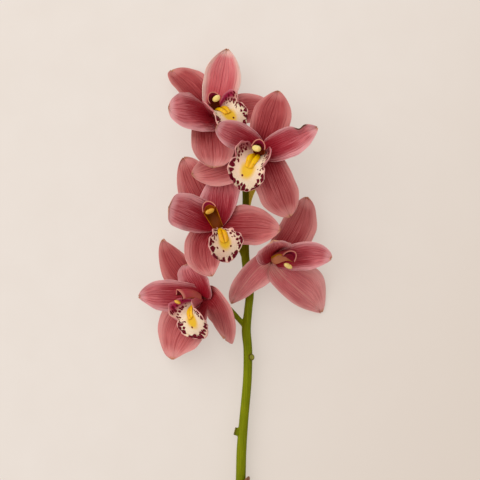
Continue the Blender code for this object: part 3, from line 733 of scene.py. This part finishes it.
def lip_finish(letter, dots, flush):
    """Cream, with freckles on the side lobes and blotches that point outwards along the front edge."""
    material, tree, skin = new_finish(
        f"Spotted lip {letter}", 0.5, Specular_IOR_Level=0.12, Subsurface_Weight=0.04,
        Subsurface_Scale=0.001)
    across, along = blade_position(tree)
    sideways = times(tree, across, LIP_HALF_MM)
    down = times(tree, along, LIP_LENGTH_MM)
    own_shift = LIPS_APART_MM * ord(letter)
    position = combine(tree, plus(tree, sideways, own_shift), down)
    aside = calc(tree, "ABSOLUTE", across)
    to_side = times(tree, minus(tree, 1.0, aside), LIP_HALF_MM)
    to_end = times(tree, minus(tree, 1.0, along), LIP_LENGTH_MM)
    to_edge = calc(tree, "MINIMUM", to_side, to_end)
    tissue = use_group(tree, "Tissue", Scale=1.0)

    colour = paint(tree, fade(tree, tissue["Mottle"], 0.35, 0.7), tint(238, 216, 186), tint(228, 188, 166))
    speckle = fade(tree, clouds(tree, position, 2.4, 1.0), 0.60, 0.70, 0.0, 0.35)
    colour = paint(tree, speckle, colour, tint(196, 120, 112))
    blush = times(tree, fade(tree, aside, 0.44, 0.80), fade(tree, along, 0.58, 0.38), flush)
    colour = paint(tree, blush, colour, tint(150, 22, 62))
    throat = combine(tree, times(tree, across, 2.1), times(tree, minus(tree, along, 0.64), 5.2))
    glow = how_far(tree, throat, (0.0, 0.0, 0.0))
    colour = paint(tree, fade(tree, glow, 1.05, 0.45), colour, tint(230, 182, 44))
    colour = paint(tree, fade(tree, to_edge, 1.5, 0.2, 0.0, 0.6), colour, tint(214, 130, 138))

    turn = calc(tree, "ARCTAN2", sideways, minus(tree, down, LIP_TURN_MM))
    around = plus(tree, times(tree, turn, 9.0), own_shift)
    fan = combine(tree, around, times(tree, to_edge, 0.55))
    band = times(tree, fade(tree, to_edge, 4.8, 3.2), fade(tree, to_edge, 0.25, 0.60),
                 fade(tree, along, 0.56, 0.66), BLOTCH_SIZE)
    blotches = spots(tree, fan, 2.0, band, 0.6)
    side = times(tree, fade(tree, to_edge, 6.8, 5.0), fade(tree, along, 0.14, 0.24),
                 fade(tree, to_edge, 0.4, 0.8), fade(tree, along, 0.66, 0.58), FRECKLE_SIZE)
    freckles = spots(tree, position, 1.8, side, 0.5)
    marks = calc(tree, "MAXIMUM", blotches, freckles)
    for dot in dots:
        away = how_far(tree, combine(tree, sideways, down), (*dot, 0.0))
        marks = calc(tree, "MAXIMUM", marks, fade(tree, away, 0.75, 0.50))
    colour = paint(tree, marks, colour, tint(104, 2, 26))
    height = plus(tree, times(tree, tissue["Cells"], 0.5), times(tree, marks, 0.4))
    dress(tree, skin, colour, height, LIP_RELIEF)
    return material


def lip_back_finish():
    material, tree, skin = new_finish(
        "Back of the lip", 0.55, Specular_IOR_Level=0.25, Subsurface_Weight=0.10, Subsurface_Scale=0.0015)
    across, along = blade_position(tree)
    veins = use_group(tree, "Veins", Across=across, Along=along, Pairs=6.0)
    tissue = use_group(tree, "Tissue", Scale=1.0)
    colour = paint(tree, fade(tree, along, 0.15, 0.75), tint(190, 90, 96), tint(216, 150, 146))
    colour = paint(tree, times(tree, veins["Streaks"], 0.5), colour, tint(150, 44, 62))
    dress(tree, skin, colour, times(tree, tissue["Cells"], 0.5), LIP_RELIEF)
    return material


LIP_SKINS = {letter: lip_finish(letter, dots, LIP_FLUSH[letter]) for letter, dots in LIP_DOTS.items()}
LIP_BACK = lip_back_finish()
print("lip finishes:", [skin.name for skin in LIP_SKINS.values()], LIP_BACK.name)

# %% [markdown]
# ## The lip
#
# The lip is one blade with three lobes. Its two side lobes stand up round the column, and the middle lobe
# runs forward and turns down at its front edge, which is frilled. It is a flat grid again, curled across
# by an angle that changes along it. A pinch in its outline sets the side lobes off from the middle one. Each
# side lobe has a size of its own, because some stand behind the column where the photo doesn't show them.

# %% The rule for a lip
LIP_COLUMNS = 44
LIP_ROWS = 48
LIP_ROUTE = ((0.0, -0.0020, 0.0004), (0.0, -0.0040, 0.0070), (0.0, -0.0078, 0.0118),
             (0.0, -0.0148, 0.0128), (0.0, -0.0225, 0.0095))
LIP_HALVES = (0.0040, 0.0092, 0.0126, 0.0128, 0.0104, 0.0106, 0.0082)
LIP_CURLS = (95.0, 98.0, 76.0, 34.0, 6.0, -12.0)
LIP_ROUND = 0.17
LIP_PINCH = 0.24
LIP_PINCH_AT = 0.60
LIP_PINCH_WIDTH = 0.045
LOBE_END = 0.36
LOBE_FULL = 0.70
LIP_FRILL = 0.0010
LIP_FRINGE = 0.80
LIP_SKIN = 0.8 * LIP_WALL


def lip_half(lip, across, along):
    """Half the lip's width here: its two side lobes are of their own size, and a pinch ends them."""
    pinch = 1.0 - LIP_PINCH * bump(along, LIP_PINCH_AT, LIP_PINCH_WIDTH) * abs(across) ** 2
    lobe = lip.right if across > 0.0 else lip.left
    return smooth_value(LIP_HALVES, along) * pinch * (lobe + (1.0 - lobe) * ramp(along, LOBE_END, LOBE_FULL))


def lip_place(bloom, seed):
    turned = bloom_axes(bloom) @ Matrix.Rotation(radians(bloom.lip.turn), 3, "Z")
    frame_of_lip = turned @ Matrix.Rotation(radians(bloom.lip.drop), 3, "X")
    heart = Vector(bloom.heart)
    roll = radians(bloom.lip.roll)

    def place(across, along, lift=0.0):
        half = lip_half(bloom.lip, across, along)
        down = along * (1.0 - LIP_ROUND * across * across)
        middle = smooth_point(LIP_ROUTE, down)
        tangent = smooth_point(LIP_ROUTE, down + STEP) - smooth_point(LIP_ROUTE, down - STEP)
        up_way = tangent.normalized().cross(SIDE)
        angle = radians(smooth_value(LIP_CURLS, down))
        out, rise = curl(across, half, angle)
        edge = abs(across) ** 3 * (0.4 + 0.6 * ramp(along, 0.3, 0.8)) + ramp(along, LIP_FRINGE, 1.0)
        frill = noise.noise(Vector((4.0 * across, 9.0 * along, seed)))
        frill += 0.5 * sin(2.0 * pi * (6.0 * along * abs(across) + 3.0 * across))
        rise += LIP_FRILL * edge * frill
        tilt = angle * across
        out -= lift * sin(tilt)
        rise += lift * cos(tilt)
        sideways = SIDE * (out * cos(roll) - rise * sin(roll))
        upward = up_way * (out * sin(roll) + rise * cos(roll))
        return heart + frame_of_lip @ (bloom.lip.scale * (middle + sideways + upward))

    return place


def make_lip(letter, bloom, seed):
    piece = add_grid(f"{letter}_lip", LIP_COLUMNS, LIP_ROWS)
    surface = lip_place(bloom, seed)
    bend_grid(piece, lambda across, along: surface(-across, along))
    piece.data.materials.append(LIP_SKINS[letter])
    piece.data.materials.append(LIP_BACK)
    give_wall(piece, LIP_SKIN, back=1)
    hand_over(piece, f"bloom_{letter}_lip")
    return piece


lips = [make_lip(letter, bloom, float(index)) for index, (letter, bloom) in enumerate(BLOOMS.items())
        if bloom.lip]
print("lips:", [piece.name for piece in lips], "of", len(lips[0].data.polygons), "faces each")

# %% [markdown]
# ## The callus
#
# Two waxy, golden ridges lead the bee in along the lip. They start as a grid that is rolled into a flat
# rod: one way goes round it and the other along it. The rule lifts the rod off the lip's own surface, so
# the ridges follow every bend of it.

# %% Callus
CALLUS_START = 0.14
CALLUS_HALF = 0.0036
CALLUS_HEIGHT = 0.0015
CALLUS_GROOVE = 0.30
CALLUS_CREST = 0.9
CALLUS_BLUNT = 0.06
CALLUS_COLUMNS = 32
CALLUS_ROWS = 24


def callus_finish():
    material, tree, skin = new_finish(
        "Golden callus", 0.42, Specular_IOR_Level=0.3, Subsurface_Weight=0.12, Subsurface_Scale=0.001)
    across, along = blade_position(tree)
    tissue = use_group(tree, "Tissue", Scale=1.6)
    # Painted shade: the groove between the two ridges is painted dark brown.
    groove_shade = calc(tree, "ABSOLUTE", calc(tree, "COSINE", times(tree, across, pi)))
    groove_shade = fade(tree, groove_shade, 0.22, 0.0)
    where = node(tree, "ShaderNodeTexCoord").outputs["Object"]
    freckle = fade(tree, clouds(tree, where, 900.0, 1.0), 0.66, 0.72)
    colour = paint(tree, fade(tree, tissue["Mottle"], 0.3, 0.7), tint(246, 196, 0), tint(232, 168, 0))
    colour = paint(tree, times(tree, groove_shade, 0.55), colour, tint(150, 78, 6))
    colour = paint(tree, fade(tree, along, 0.30, 0.05), colour, tint(150, 70, 20))
    colour = paint(tree, times(tree, freckle, 0.5), colour, tint(150, 66, 8))
    dress(tree, skin, colour, tissue["Mottle"], 0.0003)
    return material


def close_tube(piece):
    """Joins the two long edges of a rolled-up grid and fills its ends."""
    pick(piece)
    bpy.ops.object.mode_set(mode="EDIT")
    bpy.ops.mesh.select_all(action="SELECT")
    bpy.ops.mesh.remove_doubles(threshold=0.00001)
    bpy.ops.mesh.fill_holes(sides=0)
    bpy.ops.mesh.select_all(action="SELECT")
    bpy.ops.mesh.normals_make_consistent(inside=False)
    bpy.ops.object.mode_set(mode="OBJECT")


def smooth_out(piece):
    rounding = piece.modifiers.new("Rounding", "SUBSURF")
    rounding.levels = rounding.render_levels = 1
    apply_all(piece)


def callus_place(surface, lip):
    def place(across, along):
        angle = pi * across
        share = cos(angle)
        rounded = sin(pi * (CALLUS_BLUNT + (1.0 - 2.0 * CALLUS_BLUNT) * along))
        crests = CALLUS_GROOVE + (1.0 - CALLUS_GROOVE) * sin(pi * abs(share) * CALLUS_CREST)
        there = CALLUS_START + (lip.callus - CALLUS_START) * along
        width = CALLUS_HALF * (CALLUS_GROOVE + (1.0 - CALLUS_GROOVE) * rounded)
        width = min(width / lip_half(lip, share, there), 0.9)
        height = CALLUS_HEIGHT * crests * (max(sin(angle), 0.0) * rounded) ** 0.5
        lift = 0.5 * LIP_SKIN + GAP + height
        return surface(width * share, there, lift)

    return place


callus_skin = callus_finish()


def make_callus(letter, bloom, seed):
    piece = add_grid(f"{letter}_callus", CALLUS_COLUMNS, CALLUS_ROWS)
    bend_grid(piece, callus_place(lip_place(bloom, seed), bloom.lip))
    piece.data.materials.append(callus_skin)
    close_tube(piece)
    smooth_out(piece)
    hand_over(piece, f"bloom_{letter}_callus")
    return piece


calluses = [make_callus(letter, bloom, float(index)) for index, (letter, bloom) in enumerate(BLOOMS.items())
            if bloom.lip]
print("calluses:", [piece.name for piece in calluses])

# %% [markdown]
# ## The column
#
# The column is the fused heart of an orchid. It arches forward over the lip, its underside is hollowed, and
# its end is a hood with the anther cap under the rim. It is a rolled grid too. Its last rows turn back
# inside the rim, so that the hood is really hollow.

# %% Column
COLUMN_LENGTH = 0.0140
COLUMN_ARCH = 0.0012
COLUMN_RADII = (0.0027, 0.0032, 0.0036, 0.0039)
COLUMN_HOLLOW = 0.55
HOLLOW_START = 0.1
HOLLOW_END = 0.6
HOOD_REACH = 0.0026
RIM_START = 0.55
COLUMN_COLUMNS = 36
COLUMN_ROWS = 44
RIM_ROW = 0.74
RIM_TURN = 0.06
HOOD_DEPTH = 0.30
HOOD_WALL = 0.17
HOOD_FLOOR = 0.08
HOOD_NARROWING = 0.96


def column_axes(bloom):
    """The column's own axes as columns: to its right, to its back and on towards its hood."""
    way = Vector(bloom.column.way).normalized()
    back = Vector(bloom.dorsal)
    back = (back - way * back.dot(way)).normalized()
    back = Matrix.Rotation(radians(-bloom.column.spin), 3, way) @ back
    return Matrix((back.cross(way), back, way)).transposed()


def column_middle(along):
    return Vector((0.0, COLUMN_ARCH * sin(pi * along), COLUMN_LENGTH * along))


def column_place(bloom):
    foot = Vector(bloom.heart) + Vector(bloom.column.foot)
    axes = column_axes(bloom) * bloom.column.scale

    def place(across, row):
        angle = pi * across
        inward = ramp(row, RIM_ROW, 1.0) if row > RIM_ROW else 0.0
        along = row / RIM_ROW if row <= RIM_ROW else 1.0 - HOOD_DEPTH * inward
        radius = smooth_value(COLUMN_RADII, along)
        if row > RIM_ROW:
            start = ramp(row, RIM_ROW, RIM_ROW + RIM_TURN)
            closing = ramp(row, RIM_ROW + HOOD_FLOOR, 1.0)
            radius *= (1.0 - HOOD_WALL * start) * (1.0 - HOOD_NARROWING * closing)
        out, rise = cos(angle), sin(angle)
        if rise < 0.0:
            rise *= 1.0 - (1.0 + COLUMN_HOLLOW) * ramp(along, HOLLOW_START, HOLLOW_END) * (1.0 - out ** 4)
        point = column_middle(along) + Vector((radius * out, radius * rise, 0.0))
        point.z += HOOD_REACH * max(rise, 0.0) ** 1.5 * ramp(along, RIM_START, 1.0)
        return foot + axes @ point

    return place


def column_finish(name, under, cavity_tone_and_shade, border):
    material, tree, skin = new_finish(
        name, 0.5, Specular_IOR_Level=0.08, Subsurface_Weight=0.04, Subsurface_Scale=0.001)
    across, row = blade_position(tree)
    tissue = use_group(tree, "Tissue", Scale=1.6)
    veins = use_group(tree, "Veins", Across=across, Along=row, Pairs=9.0)
    height_round = calc(tree, "SINE", times(tree, across, pi))
    below = fade(tree, height_round, 0.05, -0.25)
    inside = fade(tree, row, RIM_ROW + 0.04, RIM_ROW + 0.07)
    rim = times(tree, fade(tree, row, RIM_ROW - 0.12, RIM_ROW - 0.03),
                fade(tree, row, RIM_ROW + 0.07, RIM_ROW + 0.04), 0.75)
    colour = paint(tree, fade(tree, row, 0.15, 0.70), tint(190, 100, 84), tint(178, 66, 74))
    colour = paint(tree, times(tree, veins["Streaks"], 0.35), colour, tint(150, 40, 62))
    colour = paint(tree, rim, colour, tint(214, 142, 122))
    colour = paint(tree, inside, colour, tint(160, 30, 62))
    # The underside and the cavity under the hood take colours that are partly the column's own tone and
    # partly painted shade.
    underside_tone_and_shade = paint(tree, fade(tree, row, 0.35, 0.74), tint(*under), tint(*cavity_tone_and_shade))
    colour = paint(tree, below, colour, underside_tone_and_shade)
    edge = fade(tree, calc(tree, "ABSOLUTE", plus(tree, height_round, 0.25)), 0.30, 0.10)
    edge = times(tree, edge, fade(tree, row, RIM_ROW - 0.05, RIM_ROW - 0.15))
    colour = paint(tree, edge, colour, tint(*border))
    dress(tree, skin, colour, tissue["Mottle"], 0.0003)
    return material


# The three copies differ only in the colours of the underside, the cavity and their border; the underside
# and cavity colours are partly the column's own tone and partly painted shade.
ROSE_COLUMN_SHADED_BELOW = column_finish("Rose column", (120, 40, 4), (96, 10, 10), (168, 84, 40))
COLUMN_SKINS = {
    "a": ROSE_COLUMN_SHADED_BELOW,
    "b": ROSE_COLUMN_SHADED_BELOW,
    "c": column_finish("Column seen from below", (112, 48, 0), (150, 70, 0), (206, 130, 4)),
    "d": ROSE_COLUMN_SHADED_BELOW,
    "e": column_finish("Column seen from the side", (194, 120, 84), (134, 22, 40), (196, 140, 6)),
}


def make_column(letter, bloom):
    piece = add_grid(f"{letter}_column", COLUMN_COLUMNS, COLUMN_ROWS)
    bend_grid(piece, column_place(bloom))
    piece.data.materials.append(COLUMN_SKINS[letter])
    close_tube(piece)
    smooth_out(piece)
    hand_over(piece, f"bloom_{letter}_column")
    return piece


columns = [make_column(letter, bloom) for letter, bloom in BLOOMS.items()]
print("columns:", [piece.name for piece in columns])

# %% [markdown]
# ## The anther cap
#
# The cap is a cream helmet with a furrow down its middle and a small beak. A sphere is pressed and stretched
# in edit mode for the master, and a copy goes under the hood of each column.

# %% Anther caps
CAP_SIZE = (0.0025, 0.0018, 0.0015)
CAP_FURROW = 0.16


def cap_finish(name, cream, gold):
    material, tree, skin = new_finish(
        name, 0.45, Specular_IOR_Level=0.3, Subsurface_Weight=0.12, Subsurface_Scale=0.001)
    across, along = blade_position(tree)
    tissue = use_group(tree, "Tissue", Scale=2.0)
    colour = paint(tree, fade(tree, tissue["Mottle"], 0.3, 0.7), tint(*cream), tint(*gold))
    colour = paint(tree, fade(tree, along, 0.30, 0.10), colour, tint(206, 150, 40))
    dress(tree, skin, colour, tissue["Mottle"], 0.0002)
    return material


bpy.ops.object.select_all(action="DESELECT")
bpy.ops.mesh.primitive_uv_sphere_add(segments=32, ring_count=20, radius=1.0)
cap_master = start_with("cap_master")
bpy.ops.object.mode_set(mode="EDIT")
bpy.ops.mesh.select_all(action="SELECT")
bpy.ops.transform.resize(value=CAP_SIZE, center_override=(0.0, 0.0, 0.0))
bpy.ops.object.mode_set(mode="OBJECT")
for vert in cap_master.data.vertices:
    vert.co.z *= 1.0 - CAP_FURROW * bump(vert.co.x, 0.0, 0.25 * CAP_SIZE[0])
CREAM_CAP = cap_finish("Cream anther cap", (242, 222, 150), (232, 200, 106))
GOLD_CAP = cap_finish("Golden anther cap", (226, 176, 70), (206, 140, 20))


def make_cap(letter, bloom):
    piece = copy_of(cap_master, f"{letter}_anther_cap")
    foot = Vector(bloom.heart) + Vector(bloom.column.foot)
    axes = column_axes(bloom) * bloom.column.scale
    tucked = Vector((bloom.column.aside, -bloom.column.tuck, 0.0)) * COLUMN_RADII[-1]
    place = column_middle(1.0) + tucked
    piece.data.materials.append(GOLD_CAP if letter in "cd" else CREAM_CAP)
    flat = Vector((1.0, bloom.column.cap, 1.0))
    for vert in piece.data.vertices:
        vert.co = foot + axes @ (place + vert.co * flat)
    bpy.ops.object.shade_smooth()
    hand_over(piece, f"bloom_{letter}_anther_cap")
    return piece


caps = [make_cap(letter, bloom) for letter, bloom in BLOOMS.items()]
bpy.data.objects.remove(cap_master)
print("anther caps:", [piece.name for piece in caps])

# %% [markdown]
# ## The stem
#
# The rachis, the five flower stalks and two old stubs grew as one piece. Each is a curve with a round bevel,
# and joining them leaves hard seams. A voxel remesh melts them into one skin, and a Smooth modifier turns
# the seams into the soft forks of a living stem. Near its top one side of the stem lies in a flower's shade
# and the other catches the light, and the finish paints both.

# %% Stem
STEM_VOXEL = 0.00036
STEM_SMOOTHING = 8
RACHIS_POINTS = 90
PEDICEL_POINTS = 30
STUB_POINTS = 6
SCAR_DISH = 0.0006
CUT_END = RACHIS_ROUTE[0][1]
SHADE_LEFT = 0.0078
SHADE_RIGHT = 0.0085


def stalk(name, points, radii, count):
    data = bpy.data.curves.new(name, "CURVE")
    data.dimensions = "3D"
    data.bevel_depth = 1.0
    data.bevel_resolution = 6
    data.use_fill_caps = True
    spline = data.splines.new("POLY")
    spline.points.add(count - 1)
    for index, point in enumerate(spline.points):
        along = index / (count - 1)
        point.co = (*smooth_point(points, along), 1.0)
        point.radius = smooth_value(radii, along)
    made = bpy.data.objects.new(name, data)
    bpy.context.scene.collection.objects.link(made)
    return made


def stem_finish():
    material, tree, skin = new_finish(
        "Olive stem", 0.55, Specular_IOR_Level=0.06, Subsurface_Weight=0.05, Subsurface_Scale=0.001)
    where = node(tree, "ShaderNodeTexCoord").outputs["Object"]
    parts = node(tree, "ShaderNodeSeparateXYZ", {"Vector": where}).outputs
    tissue = use_group(tree, "Tissue", Scale=1.0)
    lengthwise = node(tree, "ShaderNodeMapping", {"Vector": where, "Scale": (1.0, 0.05, 1.0)}).outputs[0]
    fibres = clouds(tree, lengthwise, 1500.0, 3.0)
    colour = paint(tree, fade(tree, tissue["Mottle"], 0.3, 0.7), tint(114, 122, 2), tint(130, 136, 8))
    colour = paint(tree, fade(tree, fibres, 0.35, 0.7, 0.0, 0.5), colour, tint(84, 94, 0))
    shaded = fade(tree, parts["X"], SHADE_RIGHT, SHADE_LEFT)
    shaded = times(tree, shaded, fade(tree, parts["Y"], 0.060, 0.078), 0.7)
    colour = paint(tree, shaded, colour, tint(76, 88, 4))
    sunlit = fade(tree, parts["X"], SHADE_LEFT, SHADE_RIGHT)
    sunlit = times(tree, sunlit, fade(tree, parts["Y"], 0.076, 0.084), 0.9)
    colour = paint(tree, sunlit, colour, tint(206, 196, 70))
    pedicel = fade(tree, parts["Z"], 0.0110, 0.0150, 0.0, 0.7)
    colour = paint(tree, pedicel, colour, tint(160, 140, 20))
    for bloom in BLOOMS.values():
        offset = how_far(tree, where, bloom.heart)
        colour = paint(tree, fade(tree, offset, 0.0085, 0.0045), colour, tint(150, 78, 60))
    for foot, end, radius in STUBS:
        offset = how_far(tree, where, end)
        colour = paint(tree, fade(tree, offset, 1.20 * radius, 0.95 * radius), colour, tint(92, 82, 14))
        colour = paint(tree, fade(tree, offset, 0.85 * radius, 0.60 * radius), colour, tint(150, 148, 62))
        colour = paint(tree, fade(tree, offset, 0.34 * radius, 0.15 * radius), colour, tint(70, 58, 16))
    cut = fade(tree, parts["Y"], CUT_END + 0.0004, CUT_END + 0.0001)
    colour = paint(tree, cut, colour, tint(196, 200, 140))
    height = plus(tree, fibres, times(tree, tissue["Cells"], 0.3))
    dress(tree, skin, colour, height, 0.0002)
    return material


stalks = [stalk("rachis", RACHIS_ROUTE, RACHIS_RADII, RACHIS_POINTS)]
for letter, bloom in BLOOMS.items():
    receptacle = Vector(bloom.heart) - bloom_axes(bloom).col[2] * RECEPTACLE_DEPTH
    route = (*bloom.pedicel, tuple(receptacle))
    stalks.append(stalk(f"pedicel_{letter}", route, PEDICEL_RADII, PEDICEL_POINTS))
for foot, end, radius in STUBS:
    stalks.append(stalk("stub", (foot, end), (radius, radius), STUB_POINTS))

bpy.ops.object.select_all(action="DESELECT")
for part in stalks:
    part.select_set(True)
bpy.context.view_layer.objects.active = stalks[0]
bpy.ops.object.convert(target="MESH")
bpy.ops.object.join()
stem = start_with("stem_skin")
remesh = stem.modifiers.new("Melt", "REMESH")
remesh.mode = "VOXEL"
remesh.voxel_size = STEM_VOXEL
soften = stem.modifiers.new("Soften", "SMOOTH")
soften.factor = 0.5
soften.iterations = STEM_SMOOTHING
apply_all(stem)
for foot, end, radius in STUBS:
    outward = (Vector(end) - Vector(foot)).normalized()
    for vert in stem.data.vertices:
        offset = (vert.co - Vector(end)).length
        if offset < radius:
            vert.co -= outward * SCAR_DISH * (1.0 - ramp(offset, 0.4 * radius, radius))
stem.data.materials.clear()
stem.data.materials.append(stem_finish())
hand_over(stem, "stem")
print("stem faces:", len(stem.data.polygons))

# %% [markdown]
# ## The bract
#
# A dry, papery sheath is left at one node of the stem. It is a grid wrapped round the stem, with a rule that
# narrows it to a free tip.

# %% Bract
BRACT_FOOT = -0.098
BRACT_TIP = -0.0702
BRACT_SIDE = 35.0
BRACT_CLASP = 105.0
BRACT_STAND_OFF = 0.0018
BRACT_TAPER = 1.5
BRACT_ROUND = 0.6
BRACT_PAPER = 0.7 * BRACT_WALL


def bract_place(across, along):
    y = BRACT_FOOT + (BRACT_TIP - BRACT_FOOT) * along
    second, third = RACHIS_ROUTE[1:3]
    share = (y - second[1]) / (third[1] - second[1])
    middle = Vector(second).lerp(Vector(third), share)
    radius = RACHIS_RADII[1] + GAP + 0.5 * BRACT_WALL + BRACT_STAND_OFF * along ** 2
    width = TIP_SHARE + (1.0 - along ** BRACT_TAPER) ** BRACT_ROUND
    angle = radians(BRACT_SIDE + BRACT_CLASP * across * width)
    return Vector((middle.x + radius * cos(angle), y, middle.z + radius * sin(angle)))


def bract_finish():
    material, tree, skin = new_finish("Dry bract", 0.65, Sheen_Weight=0.1)
    across, along = blade_position(tree)
    veins = use_group(tree, "Veins", Across=across, Along=along, Pairs=10.0)
    colour = paint(tree, fade(tree, along, 0.2, 0.9), tint(176, 150, 84), tint(186, 112, 66))
    colour = paint(tree, times(tree, veins["Streaks"], 0.5), colour, tint(132, 88, 44))
    colour = paint(tree, times(tree, veins["Veins"], 0.4), colour, tint(110, 70, 34))
    dress(tree, skin, colour, veins["Streaks"], 0.0003)
    return material


bract = add_grid("dry_bract", BLADE_COLUMNS, BLADE_ROWS)
bend_grid(bract, bract_place)
bract.data.materials.append(bract_finish())
give_wall(bract, BRACT_PAPER)
hand_over(bract, "bract")
print("bract faces:", len(bract.data.polygons))

# %% [markdown]
# ## The table, the light and the camera
#
# The photo has a plain, warm wall and soft light from the upper left. Here the spike lies on a table of
# that colour. One large lamp gives the soft shade, and a pale world fills it. The table gives off most of
# its colour by itself and its own paint is darker, so the shadows on it stay faint. The camera looks
# straight down, and its place and lens give the photo's framing.

# %% Table, light and camera
FLOOR_SIZE = 4.0
FLOOR_DROP = 0.0002
CAMERA_PLACE = (0.003, 0.065, 0.772)
CAMERA_LENS = 100.0
KEY_PLACE = Vector((-0.9, 0.7, 1.5))
KEY_AIM = Vector((0.0, 0.05, 0.0))
KEY_SIZE = 2.4
KEY_POWER = 30.0
WORLD_STRENGTH = 0.53
TABLE_GLOW = 0.86
TABLE_SHADE = 0.4

bpy.ops.object.select_all(action="DESELECT")
bpy.ops.mesh.primitive_plane_add(size=FLOOR_SIZE, location=(0.0, 0.0, -FLOOR_DROP))
floor = start_with("table")
material, tree, skin = new_finish("Warm white table", 0.9)
where = node(tree, "ShaderNodeTexCoord").outputs["Object"]
colour = paint(tree, clouds(tree, where, 40.0, 3.0), tint(199, 191, 184), tint(195, 186, 178))
parts = node(tree, "ShaderNodeSeparateXYZ", {"Vector": where}).outputs
# Painted shade: the table is painted darker towards the lower right, away from the lamp.
away_from_lamp = minus(tree, parts["X"], times(tree, parts["Y"], 0.6))
colour = paint(tree, fade(tree, away_from_lamp, -0.10, 0.22), colour, tint(188, 177, 167))
tree.links.new(paint(tree, TABLE_SHADE, colour, tint(0, 0, 0)), skin.inputs["Base Color"])
tree.links.new(colour, skin.inputs["Emission Color"])
skin.inputs["Emission Strength"].default_value = TABLE_GLOW
floor.data.materials.append(material)

bpy.ops.object.light_add(type="AREA", location=KEY_PLACE)
key = bpy.context.object
key.data.size = KEY_SIZE
key.data.energy = KEY_POWER
key.data.color = (1.0, 0.985, 0.97)
key.rotation_mode = "QUATERNION"
key.rotation_quaternion = (KEY_AIM - KEY_PLACE).to_track_quat("-Z", "Y")

world = bpy.data.worlds.new("Pale room")
bpy.context.scene.world = world
world.use_nodes = True
world.node_tree.nodes["Background"].inputs["Color"].default_value = tint(255, 249, 243)
world.node_tree.nodes["Background"].inputs["Strength"].default_value = WORLD_STRENGTH

bpy.ops.object.camera_add(location=CAMERA_PLACE)
camera = bpy.context.object
camera.data.lens = CAMERA_LENS
bpy.context.scene.camera = camera
bpy.context.scene.view_settings.view_transform = "Standard"
